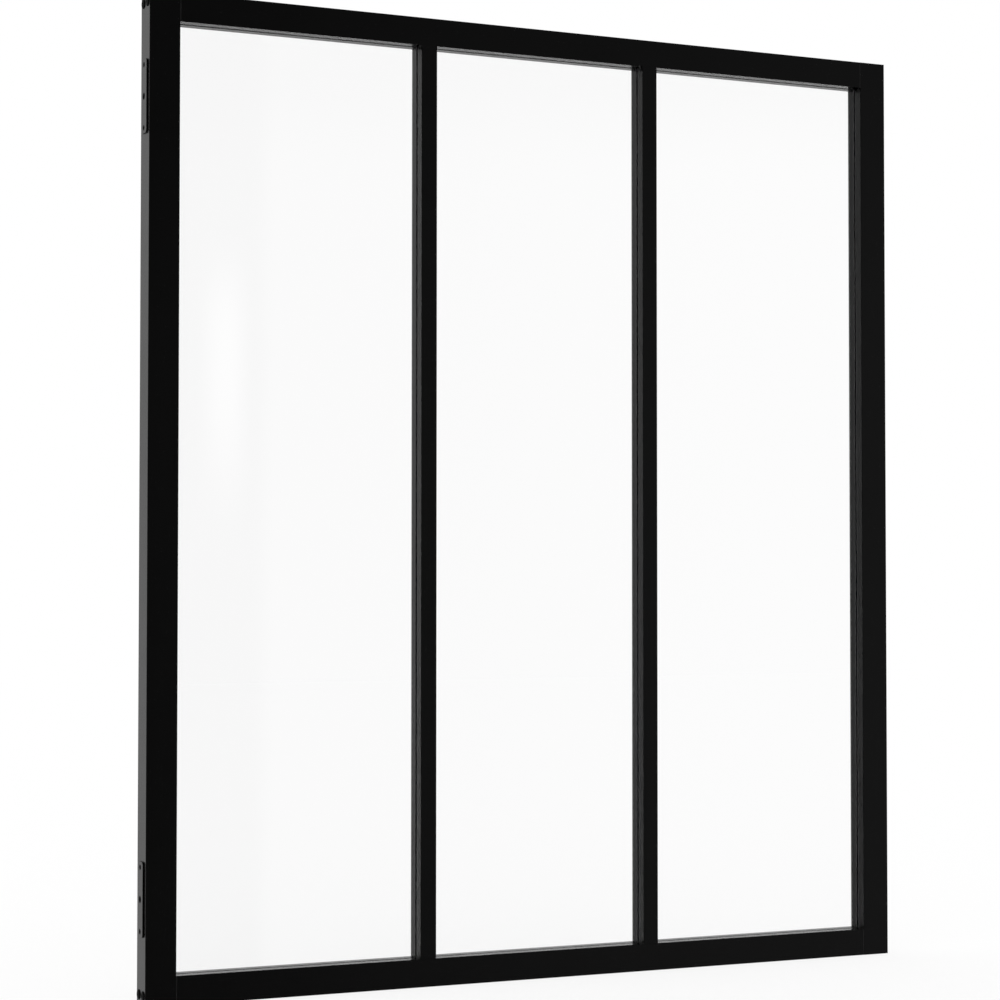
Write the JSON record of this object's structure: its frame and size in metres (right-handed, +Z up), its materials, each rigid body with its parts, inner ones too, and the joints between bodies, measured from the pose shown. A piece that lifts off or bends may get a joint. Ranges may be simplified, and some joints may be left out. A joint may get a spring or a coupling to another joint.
{
  "type": "interior glass partition",
  "caption": "Fixed interior glass partition: slim black aluminium frame with upright glazing bars, clear panes and side fixing plates.",
  "frame": {"origin": "underside of the bottom rail, at mid-width and mid-depth", "axes": "+Z up along the stiles, +X along the partition from the left stile to the right, -Y towards the viewer"},
  "size_m": [0.9332, 0.03, 1.08],
  "materials": {
    "painted_aluminium": "satin black powder coat",
    "painted_steel": "satin black paint",
    "black_screws": "black oxide",
    "clear_glass": "clear toughened",
    "gasket_rubber": "matt",
    "packer_plastic": "matt"
  },
  "bodies": {
    "root": {"left_stile": "painted_aluminium", "left_mullion": "painted_aluminium", "left_lower_plate": "painted_steel", "left_upper_plate": "painted_steel", "right_stile": "painted_aluminium", "right_mullion": "painted_aluminium", "right_lower_plate": "painted_steel", "right_upper_plate": "painted_steel", "bottom_rail": "painted_aluminium", "top_rail": "painted_aluminium", "left_glass": "clear_glass", "left_front_gasket": "gasket_rubber", "left_back_gasket": "gasket_rubber", "left_setting_blocks": "packer_plastic", "middle_glass": "clear_glass", "middle_front_gasket": "gasket_rubber", "middle_back_gasket": "gasket_rubber", "middle_setting_blocks": "packer_plastic", "right_glass": "clear_glass", "right_front_gasket": "gasket_rubber", "right_back_gasket": "gasket_rubber", "right_setting_blocks": "packer_plastic"}
  },
  "joints": []
}
